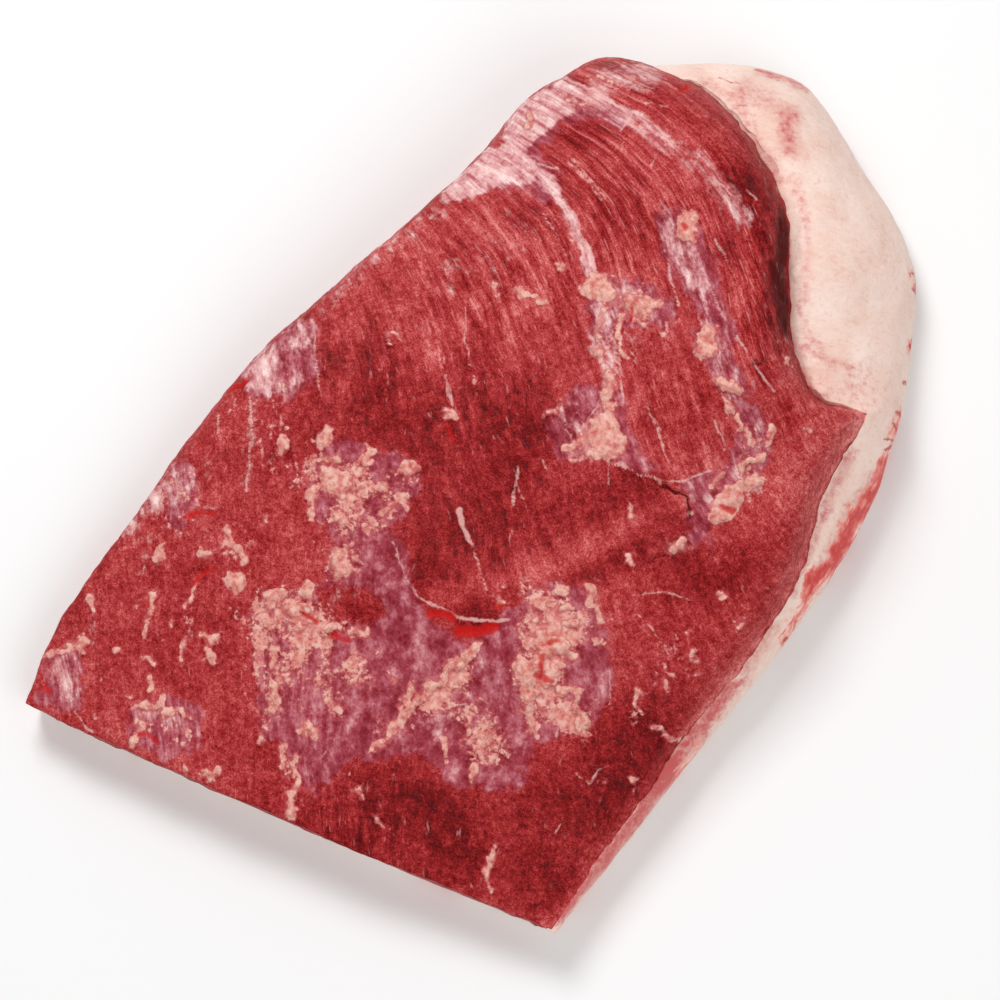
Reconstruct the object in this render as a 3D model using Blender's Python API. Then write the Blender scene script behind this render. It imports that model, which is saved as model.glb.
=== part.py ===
"""A raw beef brisket, lying on its fat cap with the meat side up.

+Y runs from the knife-cut flat end to the thick point end, +X is the side where the fat cap
wraps up the wall, +Z is up, and z = 0 is the table. The origin is under the middle of the piece.
Two solids make it: the meat, and the fat cap under it, which shows along the right wall and as
a broad shelf round the point. Lengths are in millimetres until a mesh is made from them.
"""
import math

import bmesh
import bpy
import numpy as np

MM = 0.001
ORIGIN = (0.3, 3.4)             # the middle of the piece, in the coordinates of the outlines below
GAP = 0.35                      # clearance between meat and fat

ACROSS = 30                     # mesh cells from the left edge of the meat to its right edge
ALONG = 45                      # mesh cells from the cut end to the point end
FLAT_STEP = 3                   # the flat hidden faces use every third grid line
EDGE_CROWDING = 0.45            # 0 spaces the grid evenly, 1 crowds it at the edges
WALL_ROWS = 4                   # mesh rows down the meat's walls
SHELF_ROWS = 6                  # mesh rows over the fat shelf

FAT_AT_CUT_END = 8.5            # thickness of the fat under the meat, at the cut end
FAT_AT_POINT_END = 13.0         # and at the point end
HALF_LENGTH = 230.0             # from the origin to either end
FOOT_TUCK = 4.5                 # the fat's foot rounds in by this where it meets the table
CUT_UNDERCUT = 0.12             # the knife leaned in by this much for each unit down
WALL_LEAN = 0.35                # the fat wall thickens by this much for each unit down
LEFT_TUCK = 9.0                 # the meat overhangs the fat by this along its left side
FAT_PROUD = 1.5                 # the fat shows this far outside the meat's foot at the left
WALL_END = 3.0                  # thickness of the fat wall where it ends, behind the left corner
SHELF_STRAIGHTNESS = 0.35       # 0 makes a round shelf, 1 a flat ramp

# Edge of the meat's upper side, as (x, y, height). The front and back run from left to right,
# the left and right sides run away from the cut end, and neighbours share a corner.
MEAT_FRONT = [(-131, -229, 25), (-66, -218, 31), (9, -203.3, 33), (72, -189.5, 31), (130, -175.5, 27)]
MEAT_LEFT = [(-131, -229, 25), (-140, -190, 24), (-142, -114, 29), (-139.5, -37, 34),
             (-127, 19, 38), (-113, 82, 42), (-108, 110, 44), (-106, 137, 44), (-90, 178, 42)]
MEAT_RIGHT = [(130, -175.5, 27), (129, -130, 27.5), (130.5, -60, 31), (133.5, -15, 34.5),
              (131, 24, 39), (119.5, 60, 45), (114, 104, 51)]
MEAT_BACK = [(-90, 178, 42), (-77, 186, 43), (-38, 192, 50), (-7, 183.5, 56), (29, 162, 61),
             (52, 130, 62), (70, 108, 58), (92, 95, 55), (114, 104, 51)]

# Widest line of the fat where it shows beyond the meat, as (x, y).
FAT_RIGHT = [(131.5, -173.2), (133.5, -138), (136.5, -87), (142, -2), (142, 45), (138, 81), (127, 121)]
FAT_BACK = [(-80, 188), (-46, 219), (-22, 231), (-4, 236), (18, 227), (44, 213.5), (66, 205),
            (91, 188), (101.5, 172), (116, 146), (127, 121)]

# How far the fat's inner rim stands over the edge of the meat, at parts of the back side from
# left to right. Where it is negative the rim has dived under the meat.
RIM_OVER_MEAT = [(0.0, -27), (0.05, -12), (0.11, 0), (0.3, 2), (0.5, 5), (0.68, 8), (0.82, 5), (1.0, 0.6)]

# Rise of the meat over the surface that its four edges would span, from cut end to point end,
# and how far inside each edge the rise is complete.
CROWN = [(0.0, 2), (0.15, 5), (0.35, 10), (0.55, 17), (0.75, 24), (0.9, 26), (1.0, 24)]
SHOULDER_FRONT = 4.0
SHOULDER_LEFT = 34.0
SHOULDER_RIGHT = 24.0
SHOULDER_BACK = 34.0

# Broad swells and hollows of the meat, as (height, reach to either side, path of (x, y)).
SWELLS = [
    (7, 36, [(-20, 160), (22, 132), (60, 84)]),
    (5, 40, [(-70, 150), (-40, 120)]),
    (-5, 22, [(-96, 118), (-62, 112), (-30, 84), (-16, 58)]),
    (-6, 30, [(96, 66), (88, 30), (92, -10)]),
    (-4, 36, [(-60, 10), (-30, -20), (20, -30)]),
    (4, 34, [(-90, -40), (-50, -70), (10, -74), (70, -50)]),
    (-3, 40, [(-30, -110), (30, -120)]),
    (3, 40, [(95, -110), (80, -80)]),
]


def smooth_curve(points, samples=24):
    """A dense Catmull-Rom curve through the given points."""
    inner = np.array(points, float)
    padded = np.vstack([2 * inner[0] - inner[1], inner, 2 * inner[-1] - inner[-2]])
    curve = []
    for a, b, c, d in zip(padded[:-3], padded[1:-2], padded[2:-1], padded[3:]):
        for t in np.linspace(0.0, 1.0, samples, endpoint=False):
            curve.append(b + 0.5 * ((c - a) * t + (2 * a - 5 * b + 4 * c - d) * t * t
                                    + (3 * b - a - 3 * c + d) * t ** 3))
    curve.append(inner[-1])
    return np.array(curve)


def along_curve(points, fractions):
    """Points at the given fractions of a smooth curve's length, measured in plan."""
    curve = smooth_curve(points)
    steps = np.linalg.norm(np.diff(curve[:, :2], axis=0), axis=1)
    length = np.concatenate([[0.0], np.cumsum(steps)]) / steps.sum()
    columns = [np.interp(fractions, length, values) for values in curve.T]
    return np.stack(columns, axis=1)


def read_table(table, position):
    """Reads rows of (position, value), eased from one row to the next."""
    keys = np.array(table, float)
    row = np.clip(np.searchsorted(keys[:, 0], position, side="right") - 1, 0, len(keys) - 2)
    low = keys[row]
    high = keys[row + 1]
    part = np.clip((position - low[..., 0]) / (high[..., 0] - low[..., 0]), 0.0, 1.0)
    return low[..., 1] + (high[..., 1] - low[..., 1]) * part * part * (3 - 2 * part)


def grid_lines(cells):
    """Positions from 0 to 1, closer together at both edges."""
    even = np.linspace(0.0, 1.0, cells + 1)
    crowded = 0.5 - 0.5 * np.cos(np.pi * even)
    return even + (crowded - even) * EDGE_CROWDING


def fill_between(front, back, left, right, u, v):
    """A grid that spans four boundary curves; its first index runs away from the cut end."""
    uu = u[None, :, None]
    vv = v[:, None, None]
    between_ends = (1 - vv) * front[None] + vv * back[None]
    between_sides = (1 - uu) * left[:, None] + uu * right[:, None]
    corners = ((1 - vv) * ((1 - uu) * front[0] + uu * front[-1])
               + vv * ((1 - uu) * back[0] + uu * back[-1]))
    return between_ends + between_sides - corners


def inward_normals(side, meat_is_left):
    """Unit plan normals along a boundary curve, towards the meat."""
    tangent = np.gradient(side[:, :2], axis=0)
    turn = 1.0 if meat_is_left else -1.0
    normal = turn * np.stack([-tangent[:, 1], tangent[:, 0]], axis=1)
    return normal / np.linalg.norm(normal, axis=1)[:, None]


def fat_top(xy):
    """Height of the plane where the meat lies on the fat."""
    part = (xy[..., 1] + HALF_LENGTH) / (2 * HALF_LENGTH)
    return FAT_AT_CUT_END + (FAT_AT_POINT_END - FAT_AT_CUT_END) * part


def distance_to_path(xy, path):
    """Plan distance from every point to a smooth path."""
    curve = smooth_curve(path, samples=6)
    nearest = np.full(xy.shape[:-1], np.inf)
    for a, b in zip(curve[:-1], curve[1:]):
        along = np.clip(((xy - a) @ (b - a)) / ((b - a) @ (b - a)), 0.0, 1.0)
        nearest = np.minimum(nearest, np.linalg.norm(xy - a - along[..., None] * (b - a), axis=-1))
    return nearest


def shoulder(distance, radius):
    """A rounded rise, from 0 at an edge to 1 at the given distance inside it."""
    inside = np.clip(distance / radius, 0.0, 1.0)
    return np.sqrt(1.0 - (1.0 - inside) ** 2)


def ring(front, right, back, left):
    """One closed ring of columns: front and right side, then back and left side backwards."""
    return np.concatenate([front[:-1], right[:-1], back[::-1][:-1], left[::-1][:-1]])


class Plan:
    """The meat's boundary curves and the way its walls lean, column by column."""

    def __init__(self):
        self.u = grid_lines(ACROSS)
        self.v = grid_lines(ALONG)
        self.sides = {
            "front": along_curve(MEAT_FRONT, self.u),
            "right": along_curve(MEAT_RIGHT, self.v),
            "back": along_curve(MEAT_BACK, self.u),
            "left": along_curve(MEAT_LEFT, self.v),
        }
        self.edge = ring(*self.sides.values())
        self.foot = self.edge[:, :2] + self.wall_offsets()
        left_bulge = np.clip(np.minimum(self.v, 1 - self.v) / 0.12, 0.0, 1.0)
        self.bulge = ring(0 * self.u, 0 * self.v, 0 * self.u, left_bulge)

    def wall_offsets(self):
        """How far in plan each wall comes in between the meat's edge and the fat below."""
        drop = {name: side[:, 2] - fat_top(side) for name, side in self.sides.items()}
        amounts = {
            "front": CUT_UNDERCUT * drop["front"],
            "right": WALL_LEAN * drop["right"],
            "back": WALL_LEAN * drop["back"],
            "left": LEFT_TUCK * (0.3 + 0.7 * np.sin(np.pi * self.v)),
        }
        normals = {name: inward_normals(side, name in ("front", "right"))
                   for name, side in self.sides.items()}

        def corner(a, end_a, b, end_b):
            pair = np.array([normals[a][end_a], normals[b][end_b]])
            return np.linalg.solve(pair, [amounts[a][end_a], amounts[b][end_b]])

        corners = {
            "front": (corner("front", 0, "left", 0), corner("front", -1, "right", 0)),
            "right": (corner("right", 0, "front", -1), corner("right", -1, "back", -1)),
            "back": (corner("back", 0, "left", -1), corner("back", -1, "right", -1)),
            "left": (corner("left", 0, "front", 0), corner("left", -1, "back", 0)),
        }
        offsets = []
        for name, (start, end) in corners.items():
            own = normals[name] * amounts[name][:, None]
            t = (self.v if name in ("right", "left") else self.u)[:, None]
            offsets.append(own + (start - own[0]) * (1 - t) + (end - own[-1]) * t)
        return ring(*offsets)


def meat_top(plan):
    """The grid of the meat's upper surface."""
    sides = plan.sides
    grid = fill_between(sides["front"], sides["back"], sides["left"], sides["right"], plan.u, plan.v)
    xy = grid[..., :2]
    rise = (shoulder(np.linalg.norm(xy - xy[:1], axis=-1), SHOULDER_FRONT)
            * shoulder(np.linalg.norm(xy - xy[-1:], axis=-1), SHOULDER_BACK)
            * shoulder(np.linalg.norm(xy - xy[:, :1], axis=-1), SHOULDER_LEFT)
            * shoulder(np.linalg.norm(xy - xy[:, -1:], axis=-1), SHOULDER_RIGHT))
    height = np.repeat(read_table(CROWN, plan.v)[:, None], ACROSS + 1, axis=1)
    for amount, reach, path in SWELLS:
        height += amount * np.exp(-1.3 * (distance_to_path(xy, path) / reach) ** 2)
    grid[..., 2] += height * rise
    return grid


class Solid:
    """Points and faces of one closed body; points are found again by their keys."""

    def __init__(self):
        self.mesh = bmesh.new()
        self.points = {}

    def point(self, key, xyz):
        x, y, z = (float(c) for c in xyz)
        self.points[key] = self.mesh.verts.new(((x - ORIGIN[0]) * MM, (y - ORIGIN[1]) * MM, z * MM))
        return key

    def face(self, keys):
        self.mesh.faces.new([self.points[key] for key in keys])

    def strip(self, low, high):
        """Quads between two rows of keys."""
        for a, b, c, d in zip(low[:-1], low[1:], high[1:], high[:-1]):
            self.face([a, b, c, d])

    def plan_position(self, key):
        return np.array(self.points[key].co[:2]) / MM + ORIGIN

    def flat_face(self, name, keys, height_of, extras=None):
        """Fills a ring of columns with coarse cells; extras are keys put in after a column."""
        extras = extras or {}
        xy = np.array([self.plan_position(key) for key in keys])
        corner = [0, ACROSS, ACROSS + ALONG, 2 * ACROSS + ALONG]
        closed = np.vstack([xy, xy[:1]])
        grid = fill_between(closed[:corner[1] + 1], closed[corner[2]:corner[3] + 1][::-1],
                            closed[corner[3]:][::-1], closed[corner[1]:corner[2] + 1],
                            grid_lines(ACROSS), grid_lines(ALONG))
        for i in range(FLAT_STEP, ACROSS, FLAT_STEP):
            for j in range(FLAT_STEP, ALONG, FLAT_STEP):
                self.point((name, i, j), (*grid[j, i], height_of(grid[j, i])))

        def column(i, j):
            if j == 0:
                return i
            if i == ACROSS:
                return corner[1] + j
            if j == ALONG:
                return corner[3] - i
            return corner[3] + ALONG - j if i == 0 else None

        for i in range(0, ACROSS, FLAT_STEP):
            for j in range(0, ALONG, FLAT_STEP):
                next_i = i + FLAT_STEP
                next_j = j + FLAT_STEP
                cell = [(a, j) for a in range(i, next_i, 1 if j == 0 else FLAT_STEP)]
                cell += [(next_i, b) for b in range(j, next_j, 1 if next_i == ACROSS else FLAT_STEP)]
                cell += [(a, next_j) for a in range(next_i, i, -1 if next_j == ALONG else -FLAT_STEP)]
                cell += [(i, b) for b in range(next_j, j, -1 if i == 0 else -FLAT_STEP)]
                outline = []
                for a, b in cell:
                    k = column(a, b)
                    outline.append((name, a, b) if k is None else keys[k])
                    outline += extras.get(k, [])
                self.face(outline)

    def finish(self, name, material):
        bmesh.ops.recalc_face_normals(self.mesh, faces=self.mesh.faces[:])
        bmesh.ops.triangulate(self.mesh, faces=self.mesh.faces[:], quad_method="SHORT_EDGE")
        data = bpy.data.meshes.new(name)
        self.mesh.to_mesh(data)
        self.mesh.free()
        data.shade_smooth()
        data.set_sharp_from_angle(angle=math.radians(50))
        data.materials.append(material)
        bpy.context.scene.collection.objects.link(bpy.data.objects.new(name, data))


def make_meat(plan, material):
    """The lean: its upper surface, its four walls and the flat face that lies on the fat."""
    solid = Solid()
    grid = meat_top(plan)
    for j in range(ALONG + 1):
        for i in range(ACROSS + 1):
            solid.point(("top", i, j), grid[j, i])
    for j in range(ALONG):
        solid.strip([("top", i, j) for i in range(ACROSS + 1)],
                    [("top", i, j + 1) for i in range(ACROSS + 1)])

    above = ([("top", i, 0) for i in range(ACROSS)]
             + [("top", ACROSS, j) for j in range(ALONG)]
             + [("top", i, ALONG) for i in range(ACROSS, 0, -1)]
             + [("top", 0, j) for j in range(ALONG, 0, -1)])
    foot_height = fat_top(plan.foot) + GAP
    for row in range(1, WALL_ROWS + 1):
        t = row / WALL_ROWS
        inward = t + (t * t - t) * plan.bulge
        xy = plan.edge[:, :2] + (plan.foot - plan.edge[:, :2]) * inward[:, None]
        z = plan.edge[:, 2] + (foot_height - plan.edge[:, 2]) * t
        below = [solid.point(("wall", row, k), (*xy[k], z[k])) for k in range(len(xy))]
        solid.strip(below + below[:1], above + above[:1])
        above = below
    solid.flat_face("sole", above, lambda xy: fat_top(xy) + GAP)
    solid.finish("lean", material)


def make_fat(plan, material):
    """The fat cap: a slab under the meat, with a wall at its right side and round the point.

    Columns are numbered round the meat from the cut end's left corner. The wall stands on the
    columns of the right and the back side; the others are open, with the meat's own wall above.
    """
    solid = Solid()
    first = ACROSS
    last = 2 * ACROSS + ALONG
    count = len(plan.edge)
    offset = plan.foot - plan.edge[:, :2]
    inward = offset / np.linalg.norm(offset, axis=1)[:, None]
    cut_line = (plan.edge[first, :2] - plan.edge[0, :2])
    cut_line = cut_line / np.linalg.norm(cut_line)
    cut_in = np.array([-cut_line[1], cut_line[0]]) * CUT_UNDERCUT

    # The slab's side, from the table up to the plane where the meat lies.
    levels = [(0.0, 1.0), (0.4, 0.25), (1.0, 0.0)]

    def side_column(label, k, top_xy, tuck):
        top_z = fat_top(top_xy)
        keys = []
        for level, (rise, share) in enumerate(levels):
            xy = top_xy + tuck * share
            if k <= first:
                xy = xy + cut_in * top_z * (1 - rise)
            keys.append(solid.point((label, level, k), (*xy, top_z * rise)))
        return keys

    seat = plan.foot - inward * GAP
    open_columns = {}
    for k in range(first):
        tuck = cut_line * FOOT_TUCK * (1 - plan.u[k])
        open_columns[k] = side_column("slab", k, plan.foot[k], tuck)
    for k in range(last + 1, count):
        open_columns[k] = side_column("slab", k, plan.foot[k] - inward[k] * FAT_PROUD,
                                      inward[k] * FOOT_TUCK)
    inner_corner = {k: side_column("corner", k, seat[k], np.zeros(2)) for k in (first, last)}

    # The wall's outer foot, its shelf up to the rim, and its inner face down to the slab.
    wall_end = plan.foot[last] - inward[last] * WALL_END
    outer = np.vstack([along_curve(FAT_RIGHT, plan.v)[:-1],
                       along_curve([tuple(wall_end)] + FAT_BACK, plan.u)[::-1]])
    outer_in = inward_normals(outer, True)
    outer_in[0] = -cut_line
    proud = np.concatenate([np.full(ALONG, RIM_OVER_MEAT[-1][1]),
                            read_table(RIM_OVER_MEAT, plan.u)[::-1]])
    wall = {}
    for n, k in enumerate(range(first, last + 1)):
        outside = side_column("wall", k, outer[n], outer_in[n] * FOOT_TUCK)
        start = np.array([*outer[n], fat_top(outer[n])])
        floor = np.array([*seat[k], fat_top(seat[k])])
        up = proud[n] / (plan.edge[k, 2] - floor[2])
        rim_xy = plan.edge[k, :2] - inward[k] * GAP - offset[k] * up
        rim = np.array([*rim_xy, plan.edge[k, 2] + proud[n]])
        inside = [("corner", 2, k) if k in inner_corner else solid.point(("seat", k), floor)]
        for row in range(1, SHELF_ROWS + 1):
            t = row / SHELF_ROWS
            across = (1 - SHELF_STRAIGHTNESS) * (1 - math.cos(t * math.pi / 2)) + SHELF_STRAIGHTNESS * t
            rise = (1 - SHELF_STRAIGHTNESS) * math.sin(t * math.pi / 2) + SHELF_STRAIGHTNESS * t
            outside.append(solid.point(("shelf", row, k), start + (rim - start) * [across, across, rise]))
            if row < SHELF_ROWS:
                inside.append(solid.point(("inner", row, k), floor + (rim - floor) * t))
        inside.append(outside[-1])
        wall[k] = (outside, inside)
    for k in range(first, last):
        solid.strip(wall[k][0], wall[k + 1][0])
        solid.strip(wall[k][1], wall[k + 1][1])
    for k in (first, last):
        outside, inside = wall[k]
        solid.strip(outside[:3], inner_corner[k])
        solid.strip(outside[2:-1], inside[:-1])
        solid.face([outside[-2], inside[-2], outside[-1]])

    # The open sides, then the seat under the meat and the flat face that lies on the table.
    front = [open_columns[k] for k in range(first)] + [inner_corner[first]]
    left = [inner_corner[last]] + [open_columns[k] for k in range(last + 1, count)] + [open_columns[0]]
    for columns in (front, left):
        for a, b in zip(columns[:-1], columns[1:]):
            solid.strip(a, b)
    seat_keys = ([open_columns[k][2] for k in range(first)]
                 + [wall[k][1][0] for k in range(first, last + 1)]
                 + [open_columns[k][2] for k in range(last + 1, count)])
    solid.flat_face("seat top", seat_keys, fat_top)
    base_keys = ([open_columns[k][0] for k in range(first)]
                 + [wall[k][0][0] for k in range(first, last + 1)]
                 + [open_columns[k][0] for k in range(last + 1, count)])
    solid.flat_face("base", base_keys, lambda xy: 0.0,
                    extras={first - 1: [inner_corner[first][0]], last: [inner_corner[last][0]]})
    solid.finish("fat_cap", material)


def make_material(name, color, roughness):
    material = bpy.data.materials.new(name)
    material.use_nodes = True
    shader = material.node_tree.nodes["Principled BSDF"]
    shader.inputs["Base Color"].default_value = (*color, 1.0)
    shader.inputs["Roughness"].default_value = roughness
    shader.inputs["Metallic"].default_value = 0.0
    return material


def build():
    for thing in list(bpy.data.objects):
        bpy.data.objects.remove(thing, do_unlink=True)
    plan = Plan()
    make_meat(plan, make_material("lean", (0.33, 0.035, 0.04), 0.35))
    make_fat(plan, make_material("fat", (0.80, 0.55, 0.45), 0.45))


build()
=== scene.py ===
"""Looks of a raw beef brisket that lies on its fat cap: the lean with its silverskin, seams and
lumps of fat, and the fat that shows along the right wall and as a broad shelf round the point.

Each CAD solid is refined into a dense mesh. What the photograph shows on it is given as strokes
and patches in the pixels of the 1000 x 1000 picture, and is both carved into the mesh and painted
by its material. Sides that the picture doesn't show carry the same kinds of detail, spread by noise.
"""
import math
from itertools import product

import bmesh
import bpy
import numpy as np
from mathutils import Matrix, Vector
from mathutils.bvhtree import BVHTree


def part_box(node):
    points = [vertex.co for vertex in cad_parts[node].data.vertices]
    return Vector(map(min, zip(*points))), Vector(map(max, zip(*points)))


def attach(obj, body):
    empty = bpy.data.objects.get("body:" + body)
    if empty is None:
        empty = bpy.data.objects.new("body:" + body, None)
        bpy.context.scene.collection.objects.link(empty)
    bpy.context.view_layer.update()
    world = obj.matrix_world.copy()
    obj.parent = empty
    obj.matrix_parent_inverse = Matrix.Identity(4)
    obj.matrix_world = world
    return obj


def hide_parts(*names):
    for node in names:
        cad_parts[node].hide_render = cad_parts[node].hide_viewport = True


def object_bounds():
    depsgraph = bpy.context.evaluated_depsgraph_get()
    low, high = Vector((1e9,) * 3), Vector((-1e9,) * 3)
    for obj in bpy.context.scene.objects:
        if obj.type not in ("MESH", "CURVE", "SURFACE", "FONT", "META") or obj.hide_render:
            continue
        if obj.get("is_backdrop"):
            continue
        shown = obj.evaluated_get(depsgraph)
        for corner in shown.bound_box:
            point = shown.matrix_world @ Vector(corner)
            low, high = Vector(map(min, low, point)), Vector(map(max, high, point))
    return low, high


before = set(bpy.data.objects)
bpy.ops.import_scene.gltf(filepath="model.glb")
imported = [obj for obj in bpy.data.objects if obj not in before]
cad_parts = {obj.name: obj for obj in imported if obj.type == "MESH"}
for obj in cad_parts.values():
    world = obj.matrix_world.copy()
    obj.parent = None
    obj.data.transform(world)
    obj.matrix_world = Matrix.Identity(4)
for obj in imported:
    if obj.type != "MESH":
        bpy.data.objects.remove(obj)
CAD_LOW, CAD_HIGH = (np.array(corner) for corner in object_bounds())
MM = 0.001

# The camera, as the photograph was taken.
CAMERA_AZIMUTH = math.radians(35)
CAMERA_ELEVATION = math.radians(76)
CAMERA_DISTANCE = 1.8
CAMERA_TARGET = Vector((-0.0043, -0.0284, 0.035))
PIXEL_MM = 0.467                # one pixel of the picture, at the target
PICTURE = 1000
SENSOR_MM = 36.0

# Direction of the meat's fibres in the picture, as (x, y, degrees down from the x axis).
FIBRES = [
    (577, 134, 12), (602, 148, 25), (641, 159, 38), (674, 159, 45), (713, 173, 50), (742, 209, 60),
    (764, 241, 68), (778, 292, 80), (584, 177, 40), (602, 198, 50), (627, 241, 62), (548, 177, 35),
    (555, 205, 60), (566, 241, 68), (512, 220, 70), (526, 166, 30), (720, 274, 62), (641, 280, 72),
    (782, 353, 55), (830, 440, 50), (641, 72, 20), (692, 87, 35), (641, 105, 30), (560, 100, 20),
    (510, 140, 15), (470, 190, 25), (460, 250, 72), (660, 400, 74), (700, 440, 66), (740, 360, 62),
    (440, 370, 79), (480, 330, 77), (400, 300, 82), (465, 530, 74), (245, 450, 90), (497, 860, 92),
    (250, 770, 78), (150, 600, 84), (60, 660, 80), (300, 830, 84), (400, 830, 79), (600, 760, 82),
    (700, 640, 64), (760, 550, 60), (330, 600, 88), (560, 660, 84), (320, 400, 88), (620, 850, 86),
    (560, 330, 72), (600, 500, 74), (540, 430, 74), (340, 720, 112), (390, 690, 116), (440, 700, 120),
    (480, 730, 116), (310, 760, 104), (360, 650, 100),
]
FIBRE_BLEND = 42                # pixels over which one guide gives way to the next
GRAIN_DEGREE = 8                # of the polynomials that the grain follows
GRAIN_EVENNESS = 0.2            # how much the grain keeps its width, against its direction

# Lumps of cream fat on the lean: the paths that they follow in the picture, by half width.
LUMPS = {
    17: [[(604, 430), (608, 446)]],
    12: [[(334, 478), (341, 484)]],
    9: [[(689, 217), (687, 233)], [(707, 333), (706, 352)], [(341, 556), (344, 570)],
        [(540, 640), (545, 655), (536, 668)], [(558, 645), (567, 650)]],
    8: [[(588, 288), (602, 281)], [(722, 502), (738, 496)], [(233, 581), (238, 586)],
        [(520, 665), (530, 678)], [(556, 665), (550, 678)]],
    7: [[(594, 290), (614, 295)], [(611, 408), (609, 425)], [(714, 517), (732, 510)]],
    6.5: [[(283, 440), (286, 446)], [(400, 497), (405, 503)], [(527, 688), (530, 712)]],
    6: [[(336, 516), (346, 522)], [(268, 600), (280, 596)], [(290, 610), (303, 604)],
        [(208, 636), (210, 641)], [(303, 730), (312, 732)], [(672, 548), (682, 545)]],
    5.5: [[(477, 646), (459, 662), (440, 680)]],
    5: [[(529, 121), (530, 128)], [(630, 304), (654, 308)], [(717, 377), (730, 383), (742, 390)],
        [(742, 467), (755, 460), (762, 457)], [(327, 433), (324, 443)], [(262, 618), (272, 630)],
        [(163, 549), (161, 556)], [(150, 596), (149, 612)], [(134, 741), (140, 728)],
        [(207, 775), (217, 773)], [(275, 682), (274, 700), (274, 712)],
        [(410, 712), (399, 722), (388, 736)], [(581, 716), (583, 728)]],
    4.5: [[(747, 438), (753, 444)], [(726, 490), (745, 484), (762, 479)], [(446, 414), (454, 416)],
          [(401, 467), (417, 467)], [(367, 452), (367, 463)], [(305, 588), (310, 590)],
          [(300, 625), (312, 618)], [(226, 541), (236, 548)], [(208, 652), (212, 661)],
          [(90, 598), (94, 608)], [(440, 680), (424, 695), (413, 709)], [(335, 707), (339, 709)],
          [(531, 715), (533, 735)], [(563, 690), (576, 688)], [(577, 700), (580, 712)],
          [(597, 610), (599, 622)]],
    4: [[(623, 300), (645, 299), (660, 303)], [(559, 264)], [(734, 420), (739, 430)],
        [(712, 484), (716, 474)], [(322, 633), (340, 628)], [(352, 634), (368, 630)],
        [(560, 588), (566, 590)]],
    3.8: [[(743.5, 622)], [(694, 655.5)]],
    3.6: [[(315, 461), (333, 460)], [(376, 487), (386, 486)], [(368, 526), (369, 533)],
          [(281, 672), (290, 676)], [(590, 590), (592, 605)]],
    3.5: [[(632, 310), (646, 326)], [(610, 376), (606, 398)], [(727, 402), (730, 408)],
          [(497, 285), (498, 292)], [(145, 620), (143, 630)], [(186, 744), (186, 750)],
          [(384, 742), (372, 752)], [(365, 662), (362, 672), (356, 684)]],
    3.4: [[(146, 661), (152, 663)], [(562, 610), (575, 606)]],
    3.2: [[(133, 708), (150, 706), (166, 700)], [(524, 618), (536, 619)], [(628, 552), (630, 564)]],
    3: [[(590, 452), (576, 460)], [(584, 438), (570, 446)], [(606, 300), (600, 330), (598, 356)],
        [(770, 425), (770, 444)], [(318, 486), (313, 500), (314, 520)],
        [(380, 515), (392, 508), (404, 495)], [(224, 530), (228, 538)], [(238, 552), (242, 561)],
        [(202, 555), (212, 553)], [(166, 716), (180, 712), (190, 716)], [(86, 638), (84, 650)],
        [(262, 739)], [(446, 740), (447, 752), (448, 765)], [(492, 735), (488, 750)], [(553, 605)],
        [(562, 624), (574, 625)], [(596, 641), (600, 643)], [(637, 688), (637, 700)],
        [(665, 666), (670, 672)], [(806, 432)]],
    2.8: [[(296, 759), (296, 789), (291, 814)], [(545, 616), (543, 625)], [(494, 850), (493, 859)]],
    2.6: [[(513, 290), (528, 296), (545, 300)], [(554, 266), (565, 267)],
          [(390, 344), (388, 333), (396, 329), (404, 338)], [(117, 649)], [(151, 680), (145, 692)],
          [(126, 697)], [(50, 654), (66, 648), (80, 645)], [(187, 770)], [(272, 716), (268, 730)],
          [(414, 682), (407, 700), (399, 712)], [(390, 671), (391, 680)], [(474, 768), (475, 782)],
          [(523, 632), (525, 645)], [(264, 519)], [(259, 526)]],
    2.4: [[(620, 312), (618, 340), (624, 362)], [(640, 306), (652, 322), (664, 334)],
          [(197, 583), (192, 595), (188, 606)], [(472, 722), (464, 738)], [(304, 708)],
          [(693, 516)], [(629, 505), (632, 520)], [(720, 591), (726, 597)],
          [(375, 820), (377, 824)], [(496, 600), (501, 601)]],
    2.2: [[(547, 413), (553, 414)], [(184, 640), (182, 652), (181, 662)],
          [(282, 744), (279, 756), (280, 768)], [(652, 723), (664, 730), (675, 738)],
          [(690, 630)], [(356, 789), (360, 793)], [(785, 359), (790, 361)]],
    2: [[(664, 680), (668, 688)]],
    1.8: [[(636, 702), (640, 712)], [(701, 674)], [(769, 586)], [(506, 586)]],
    1.7: [[(490, 862), (490, 889)]],
    1.6: [[(632, 776), (632, 790)]],
}

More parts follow.
